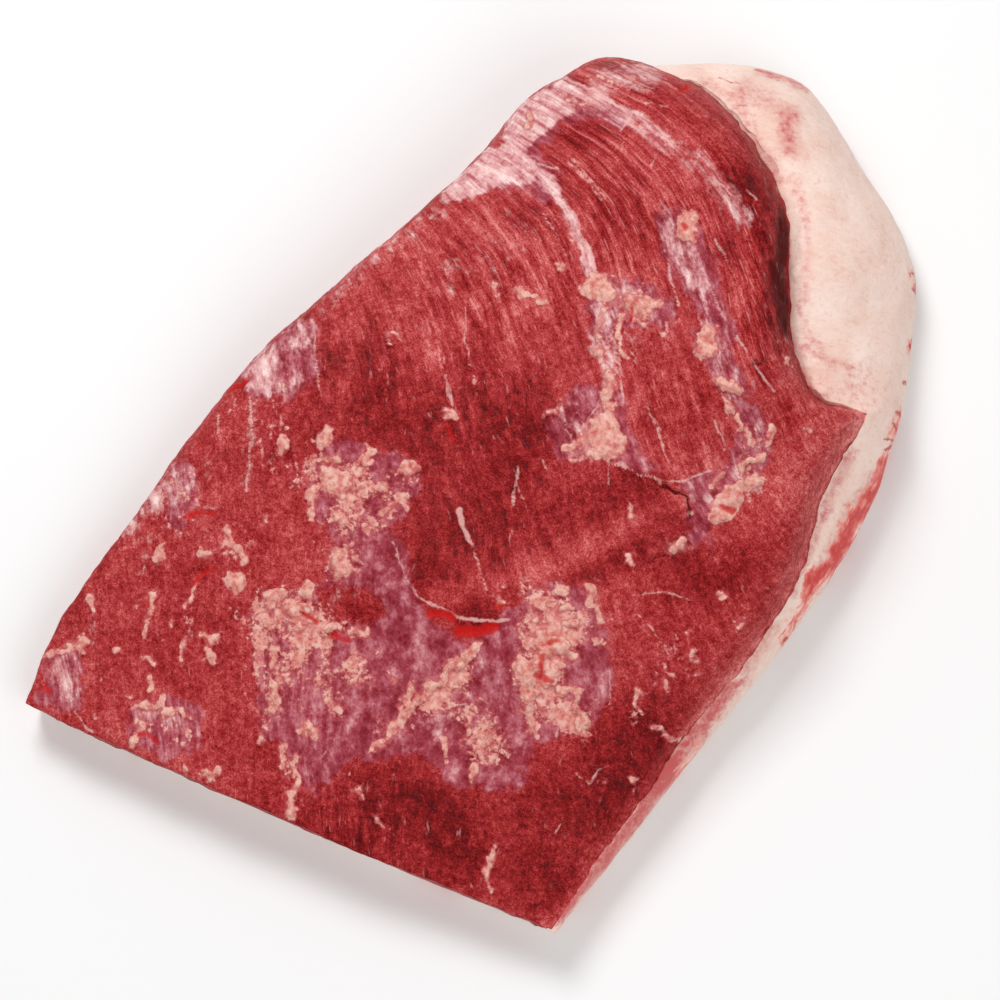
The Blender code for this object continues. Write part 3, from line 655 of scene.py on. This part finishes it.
def depth_under_top(skin):
    """How far below the edge of the upper side each point of a wall lies, in mm."""
    upward = skin.normals[:, 2] > 0.6
    depth = np.zeros(len(skin.points))
    rim = skin.mm[upward & (skin.normals[:, 2] < 0.85)]
    rim = rim[::max(1, len(rim) // 1500)]
    for k in np.flatnonzero(~upward):
        nearest = np.argmin(((rim[:, :2] - skin.mm[k, :2]) ** 2).sum(axis=1))
        depth[k] = max(0.0, rim[nearest, 2] - skin.mm[k, 2])
    return depth


def make_lean():
    neighbour = cad_surface("fat_cap")
    piece = refined("lean", "lean_meat", neighbour, lambda face: face.normal.z > 0.35)
    skin = Skin(piece, neighbour)
    grain = np.column_stack([fit_grain()(skin.picture), depth_under_top(skin)])
    grain[:, 1] += 1.2 * rough_noise(skin.mm, 24.0, 30, 2)
    torn = ragged(skin.picture)
    shown = skin.shown
    hidden = 1 - shown

    fat = stroke_depth(ragged(skin.picture, 4.5), LUMPS) + 1.8 * rough_noise(skin.picture, 8.0, 11)
    strands = stroke_depth(ragged(skin.picture, 1.6), STRANDS)
    strands += 0.6 * rough_noise(skin.picture, 12.0, 12)
    membrane = np.clip(patch_depth(ragged(skin.picture, 5.0), MEMBRANES), -MEMBRANE_REACH, 9)
    membrane = np.minimum(membrane, -patch_depth(torn, HOLES))
    membrane += 3.0 * rough_noise(skin.picture, 22.0, 13)
    marbling = soft_strokes(skin.picture, MARBLING)
    pale = soft_strokes(torn, PALE) + soft_patches(ragged(skin.picture, 5.0), FROSTED_AND_SHEEN)
    tears = stroke_depth(torn, TEARS)
    # Near the fat, in the lower part of the picture, the lean is painted paler: painted light against the
    # shade of its rounded edge.
    tone = soft_strokes(skin.picture, TONES_AND_SHADE) - (1 - eased(skin.away, 1.0, 9.0)) * (skin.picture[:, 1] > 400)
    combed = np.clip(soft_strokes(skin.picture, COMBED), 0, 1)

    # What the picture doesn't show: the same things, spread by noise.
    spread = rough_noise(skin.mm, 34.0, 21)
    lumps = 10 * (rough_noise(skin.mm, 17.0, 22) - 0.95)
    fat = fat * shown + hidden * np.clip(lumps, -STROKE_REACH, STROKE_REACH)
    strands = strands * shown - STROKE_REACH * hidden
    membrane = membrane * shown + hidden * np.clip(16 * (spread - 0.25), -MEMBRANE_REACH, MEMBRANE_REACH)
    marbling = marbling * shown + hidden * np.clip(spread, 0, 1)
    pale = pale * shown + hidden * np.clip(spread - 0.4, 0, 1)
    tears = tears * shown - STROKE_REACH * hidden
    tone = tone * shown + hidden * 0.3 * noise(skin.mm, 40.0, 23)
    combed = combed * shown + 0.6 * hidden

    # The knife cut shows plain meat.
    cut = eased(-skin.normals[:, 1], 0.75, 0.9)
    fat = fat * (1 - cut) - STROKE_REACH * cut
    membrane = membrane * (1 - cut) - MEMBRANE_REACH * cut
    marbling, pale, combed = (values * (1 - cut) for values in (marbling, pale, combed))

    bundles = 0.5 * rough_noise(grain / [10, 1, 1], 4.2, 31, 2) + 0.5 * noise(grain / [6, 1, 1], 9.0, 32)
    bundles *= 0.3 + 0.7 * combed
    broad = 0.8 * noise(grain / [3, 1, 1], 17.0, 33)
    height = (bundles + broad) * (1 - 0.6 * eased(membrane, -2, 6))
    height += 1.8 * eased(fat, -1.5, 5) + 0.6 * rough_noise(skin.picture, 8.0, 34) * eased(fat, -1, 4)
    height += 0.2 * eased(strands, -1.5, 1.5) + 0.4 * eased(membrane, -3, 3)
    height += 0.4 * rough_noise(skin.mm, 5.0, 35) * (1 + eased(marbling, 0, 1)) * (1 - 0.5 * combed)
    height -= 0.8 * eased(tears, -2, 3)
    # The crevices: carved into the mesh and painted dark, as painted shade.
    dark = np.zeros(len(height))
    for half_width, depth, path in CREVICES:
        near = near_path(skin.picture, path, half_width + 6)
        inside = eased(half_width - path_distance(torn[near], path), -half_width, half_width)
        height[near] -= depth * inside * shown[near]
        dark[near] = np.maximum(dark[near], inside * shown[near] * min(1.0, depth))
    skin.move(height)
    skin.paint(grain=grain, fat=fat * PIXEL_MM, strand=strands * PIXEL_MM, membrane=membrane * PIXEL_MM,
               marbling=marbling, pale=pale, tear=tears * PIXEL_MM, tone=tone, furrow=bundles,
               combed=combed, dark=dark)
    return piece


def make_fat_cap():
    low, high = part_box("fat_cap")
    middle = Vector(((low[0] + high[0]) / 2, (low[1] + high[1]) / 2, 0.0))

    def outside(face):
        centre = face.calc_center_median()
        outward = (centre - middle).normalized()
        return face.normal.z > 0.1 and centre.z > 0.016 or face.normal.dot(outward) > 0.3

    neighbour = cad_surface("lean")
    piece = refined("fat_cap", "fat_layer", neighbour, outside)
    skin = Skin(piece, neighbour)
    shown = skin.shown
    hidden = 1 - shown
    blush = soft_strokes(ragged(skin.picture), BLUSHES) * shown
    blush += hidden * np.clip(0.3 * rough_noise(skin.mm, 26.0, 41), 0, 1)
    # Red meat shows through the fat in streaks along the wall.
    streaked = np.clip(patch_depth(ragged(skin.picture, 3.0), RED_WALLS), -12, 12) / 12 * shown
    streaked += hidden * np.clip(rough_noise(skin.mm / [1, 1, 0.35], 30.0, 45) - 0.2, -1, 1)
    specks = stroke_depth(ragged(skin.picture, 1.5), RED_SPECKS)
    specks = specks * shown - STROKE_REACH * hidden
    height = 0.3 * rough_noise(skin.mm, 9.0, 42) + 0.5 * noise(skin.mm, 22.0, 43)
    height += 0.15 * noise(skin.mm, 3.0, 44)
    skin.move(height)
    skin.paint(blush=blush, streaked=streaked, speck=specks * PIXEL_MM)
    return piece


class Graph:
    """One material's node tree. Each method adds a node and returns its output socket."""

    def __init__(self, name, specular):
        self.material = bpy.data.materials.new(name)
        self.material.use_nodes = True
        self.tree = self.material.node_tree
        self.shader = self.tree.nodes["Principled BSDF"]
        self.shader.inputs["Specular IOR Level"].default_value = specular

    def add(self, kind, inputs, output=0, **settings):
        node = self.tree.nodes.new("ShaderNode" + kind)
        for key, value in settings.items():
            setattr(node, key, value)
        for key, value in inputs.items():
            if isinstance(value, bpy.types.NodeSocket):
                self.tree.links.new(value, node.inputs[key])
            else:
                node.inputs[key].default_value = value
        return node.outputs[output]

    def attribute(self, name, output="Fac"):
        return self.add("Attribute", {}, output, attribute_name=name)

    def position(self):
        """The surface's own coordinates, in millimetres."""
        return self.scaled(self.add("TexCoord", {}, "Object"), (1000, 1000, 1000))

    def scaled(self, vector, scale):
        return self.add("VectorMath", {0: vector, 1: scale}, operation="MULTIPLY")

    def noise(self, vector, scale, detail=2.0, roughness=0.5, distortion=0.0):
        return self.add("TexNoise", {"Vector": vector, "Scale": scale, "Detail": detail,
                                     "Roughness": roughness, "Distortion": distortion})

    def math(self, operation, first, second=0.0):
        return self.add("Math", {0: first, 1: second}, operation=operation)

    def weighted(self, start, terms):
        """The start plus every (weight, value) product; a name stands for its attribute."""
        total = start
        for weight, value in terms:
            if isinstance(value, str):
                value = self.attribute(value)
            total = self.add("Math", {0: value, 1: weight, 2: total}, operation="MULTIPLY_ADD")
        return total

    def step(self, value, low, high, to_low=0.0, to_high=1.0):
        """A smooth step; value is read from low to high, or from high to low if low is larger."""
        return self.add("MapRange", {"Value": value, "From Min": low, "From Max": high,
                                     "To Min": to_low, "To Max": to_high}, interpolation_type="SMOOTHSTEP")

    def mix(self, factor, first, second):
        return self.add("Mix", {0: factor, 6: first, 7: second}, output=2, data_type="RGBA")

    def ramp(self, value, stops):
        """A colour ramp through (position, colour)."""
        node = self.tree.nodes.new("ShaderNodeValToRGB")
        self.tree.links.new(value, node.inputs[0])
        elements = node.color_ramp.elements
        while len(elements) < len(stops):
            elements.new(0.5)
        for element, (position, color) in zip(elements, stops):
            element.position = position
            element.color = color
        return node.outputs[0]

    def finish(self, color, roughness, height, bump_mm):
        self.tree.links.new(color, self.shader.inputs["Base Color"])
        self.tree.links.new(roughness, self.shader.inputs["Roughness"])
        bump = self.add("Bump", {"Height": height, "Distance": bump_mm * MM, "Strength": 1.0})
        self.tree.links.new(bump, self.shader.inputs["Normal"])
        return self.material


def srgb(red, green, blue):
    """A linear colour from the 0 to 255 values of a picture."""
    linear = [(c / 255 / 12.92) if c < 10 else ((c / 255 + 0.055) / 1.055) ** 2.4 for c in (red, green, blue)]
    return (*linear, 1.0)


def lean_material():
    graph = Graph("raw_lean", 0.1)
    place = graph.position()
    grain = graph.attribute("grain", "Vector")
    fibre = graph.noise(graph.scaled(grain, (0.06, 0.4, 0.4)), 1.0, 3.0, 0.75)
    ripple = graph.noise(graph.scaled(grain, (0.5, 0.1, 0.3)), 1.0, 2.0, 0.6)
    cells = graph.noise(place, 0.17, 3.0, 0.6)
    grit = graph.noise(place, 0.45, 3.0, 0.65)
    mottle = graph.noise(place, 0.05, 2.0, 0.5)
    speck = graph.noise(place, 1.3, 2.0, 0.8)
    combed_fibre = graph.math("MULTIPLY", graph.math("SUBTRACT", fibre, 0.5),
                              graph.weighted(0.4, [(0.8, "combed")]))
    loose_grit = graph.math("MULTIPLY", graph.math("SUBTRACT", grit, 0.5),
                            graph.weighted(1.0, [(-0.5, "combed")]))
    # The lean's red from noise. The bundle shade makes the ridges between fibre bundles lighter and the
    # grooves darker, as painted shade, and the tone and shade strokes darken or lighten it.
    red = graph.weighted(-0.14, [
        (1.0, combed_fibre), (0.6, loose_grit), (0.15, ripple), (0.35, cells), (0.3, mottle), (0.8, speck),
        (0.16, "furrow"), (-0.15, "tone")])
    lean = graph.ramp(red, [(0.28, srgb(76, 2, 6)), (0.45, srgb(126, 12, 16)), (0.62, srgb(162, 40, 42)),
                            (0.79, srgb(190, 78, 78)), (1.0, srgb(224, 136, 130))])
    # Painted highlights: small pale glints along the fibres, in the base colour.
    glints = graph.noise(graph.scaled(grain, (0.1, 0.7, 0.7)), 1.0, 2.0, 0.6)
    glint = graph.step(graph.weighted(-0.06, [(1.0, glints), (0.06, "combed")]), 0.6, 0.74, 0.0, 0.5)
    lean = graph.mix(glint, lean, srgb(222, 150, 146))

    # The silverskin: mauve, mottled, with holes and streaks along the fibres.
    tattered = graph.noise(place, 0.3, 4.0, 0.65)
    streaks = graph.noise(graph.scaled(grain, (0.09, 0.3, 0.3)), 1.0, 4.0, 0.65)
    covered = graph.weighted(-7.0, [(1.0, "membrane"), (6.0, tattered), (7.0, streaks)])
    covered = graph.step(covered, -1.8, 2.2)
    shade = graph.weighted(-0.6, [
        (1.2, streaks), (0.6, cells), (0.4, grit), (0.2, speck), (-0.1, "tone")])
    silver = graph.ramp(shade, [(0.36, srgb(120, 22, 36)), (0.56, srgb(154, 60, 74)),
                                (0.74, srgb(187, 110, 120)), (0.92, srgb(222, 166, 164))])
    color = graph.mix(graph.math("MULTIPLY", covered, 0.88), lean, silver)

    # Pale membrane, whitish where it is thick, and painted sheen where the lean catches the light.
    pale = graph.weighted(-1.4, [(0.75, "pale"), (1.2, tattered), (1.2, streaks)])
    pale = graph.step(pale, 0.05, 0.8)
    whitish = graph.ramp(shade, [
        (0.4, srgb(182, 94, 100)), (0.58, srgb(219, 160, 160)), (0.84, srgb(248, 221, 215))])
    color = graph.mix(graph.math("MULTIPLY", pale, 0.88), color, whitish)

    # Marbling: bits of fat in the meat, pink where they are thin.
    curds = graph.noise(place, 0.25, 3.0, 0.6)
    cream = graph.ramp(graph.weighted(0.0, [(0.6, curds), (0.4, grit)]), [
        (0.38, srgb(194, 98, 94)), (0.48, srgb(214, 140, 128)), (0.6, srgb(230, 180, 166))])
    bits = graph.noise(graph.scaled(grain, (0.12, 0.2, 0.2)), 1.0, 3.0, 0.6)
    marbled = graph.weighted(-1.02, [(1.2, bits), (0.8, grit), (0.42, "marbling")])
    color = graph.mix(graph.step(marbled, 0.2, 0.36, 0.0, 0.6), color, srgb(186, 84, 88))
    color = graph.mix(graph.step(marbled, 0.3, 0.44, 0.0, 0.9), color, cream)

    line = graph.step(graph.weighted(-0.9, [(1.0, "strand"), (0.6, speck), (1.0, grit)]), -0.3, 0.6)
    color = graph.mix(graph.math("MULTIPLY", line, 0.75), color, srgb(228, 172, 166))

    lump = graph.weighted(-2.5, [(1.0, "fat"), (2.6, curds), (2.4, grit)])
    color = graph.mix(graph.step(lump, -1.3, -0.1, 0.0, 0.7), color, srgb(186, 82, 86))
    color = graph.mix(graph.step(lump, -0.4, 0.6), color, cream)

    tear = graph.step(graph.weighted(-0.6, [(1.0, "tear"), (1.2, speck)]), -0.7, 0.7)
    color = graph.mix(graph.math("MULTIPLY", tear, 0.8), color, srgb(190, 14, 12))
    # Painted shade: dark red in the crevices, broken up along the fibres.
    dark = graph.step(graph.weighted(-1.7, [(1.6, "dark"), (2.0, fibre), (0.4, grit)]), 0.1, 1.0)
    color = graph.mix(graph.math("MULTIPLY", dark, 0.96), color, srgb(84, 0, 0))

    height = graph.weighted(0.0, [
        (0.7, combed_fibre), (0.6, loose_grit), (0.3, cells), (0.15, speck),
        (0.15, graph.step(marbled, 0.25, 0.5)), (0.12, graph.step(lump, -1.2, 1.4))])
    roughness = graph.weighted(0.0, [(1.0, graph.step(cells, 0.35, 0.65, 0.4, 0.6)), (0.3, dark)])
    return graph.finish(color, roughness, height, 1.0)


def fat_material():
    graph = Graph("raw_fat", 0.25)
    place = graph.position()
    mottle = graph.noise(place, 0.05, 3.0, 0.55)
    grains = graph.noise(place, 0.35, 3.0, 0.6)
    speck = graph.noise(place, 1.1, 2.0, 0.7)
    wrinkles = graph.noise(graph.add("Mapping", {"Vector": place, "Rotation": (0, 0, math.radians(30)),
                                                 "Scale": (16, 2, 3)}, vector_type="TEXTURE"), 1.0, 3.0, 0.6)
    fat = graph.ramp(graph.weighted(0.0, [(0.4, mottle), (0.2, grains), (0.15, speck), (0.25, wrinkles)]), [
        (0.38, srgb(232, 190, 174)), (0.5, srgb(243, 214, 200)), (0.62, srgb(250, 230, 218))])

    pink = graph.weighted(-1.2, [
        (1.0, "blush"), (0.4, mottle), (1.0, grains), (0.6, wrinkles), (0.4, speck)])
    color = graph.mix(graph.step(pink, -0.05, 0.9), fat, srgb(202, 88, 88))

    # Level streaks of red where meat shows through the fat of the walls.
    streaks = graph.noise(graph.scaled(place, (0.06, 0.06, 0.16)), 1.0, 5.0, 0.75)
    red = graph.weighted(-0.85, [(1.5, streaks), (0.55, "streaked"), (0.6, grains)])
    bloody = graph.ramp(red, [
        (0.28, srgb(244, 172, 158)), (0.46, srgb(234, 124, 114)), (0.7, srgb(206, 62, 58))])
    color = graph.mix(graph.step(red, 0.2, 0.4), color, bloody)
    speckled = graph.weighted(-1.8, [(1.0, "speck"), (1.2, speck), (1.2, streaks), (1.0, grains)])
    color = graph.mix(graph.step(speckled, -0.3, 0.6, 0.0, 0.9), color, srgb(184, 34, 32))

    height = graph.weighted(0.0, [(0.5, grains), (0.3, speck), (0.6, wrinkles)])
    roughness = graph.step(mottle, 0.3, 0.7, 0.42, 0.58)
    return graph.finish(color, roughness, height, 0.6)


def make_floor():
    size = 12.0
    corners = [(-size, -size, 0), (size, -size, 0), (size, size, 0), (-size, size, 0)]
    data = bpy.data.meshes.new("floor")
    data.from_pydata(corners, [], [(0, 1, 2, 3)])
    graph = Graph("pale_floor", 0.1)
    graph.shader.inputs["Base Color"].default_value = (0.86, 0.86, 0.86, 1.0)
    graph.shader.inputs["Roughness"].default_value = 0.8
    data.materials.append(graph.material)
    floor = add_object("floor", data)
    floor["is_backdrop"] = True


def make_light(name, place, size, power):
    light = bpy.data.lights.new(name, "AREA")
    light.size = size
    light.energy = power
    lamp = add_object(name, light)
    lamp.location = place
    lamp.rotation_euler = (-Vector(place)).to_track_quat("-Z", "Y").to_euler()


def make_studio():
    scene = bpy.context.scene
    scene.view_settings.view_transform = "Standard"
    world = bpy.data.worlds.new("studio")
    world.use_nodes = True
    background = world.node_tree.nodes["Background"].inputs
    background["Color"].default_value = (1.0, 1.0, 1.0, 1.0)
    background["Strength"].default_value = 0.48
    scene.world = world
    make_light("key", (-0.95, 0.5, 1.5), 0.7, 20.0)
    make_light("fill", (1.1, -0.6, 1.4), 1.4, 12.0)

    right, up, back = camera_axes()
    lens = bpy.data.cameras.new("camera")
    lens.sensor_width = SENSOR_MM
    lens.lens = SENSOR_MM * CAMERA_DISTANCE / (PICTURE * PIXEL_MM * MM)
    camera = add_object("camera", lens)
    turned = Matrix((right, up, back)).transposed().to_4x4()
    camera.matrix_world = Matrix.Translation(CAMERA_TARGET + back * CAMERA_DISTANCE) @ turned
    scene.camera = camera


make_studio()
make_floor()
for piece, node, slot, material in ((make_lean(), "lean", "lean", lean_material()),
                                    (make_fat_cap(), "fat_cap", "fat", fat_material())):
    piece.data.materials.clear()
    piece.data.materials.append(material)
    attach(piece, "root")
    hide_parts(node)
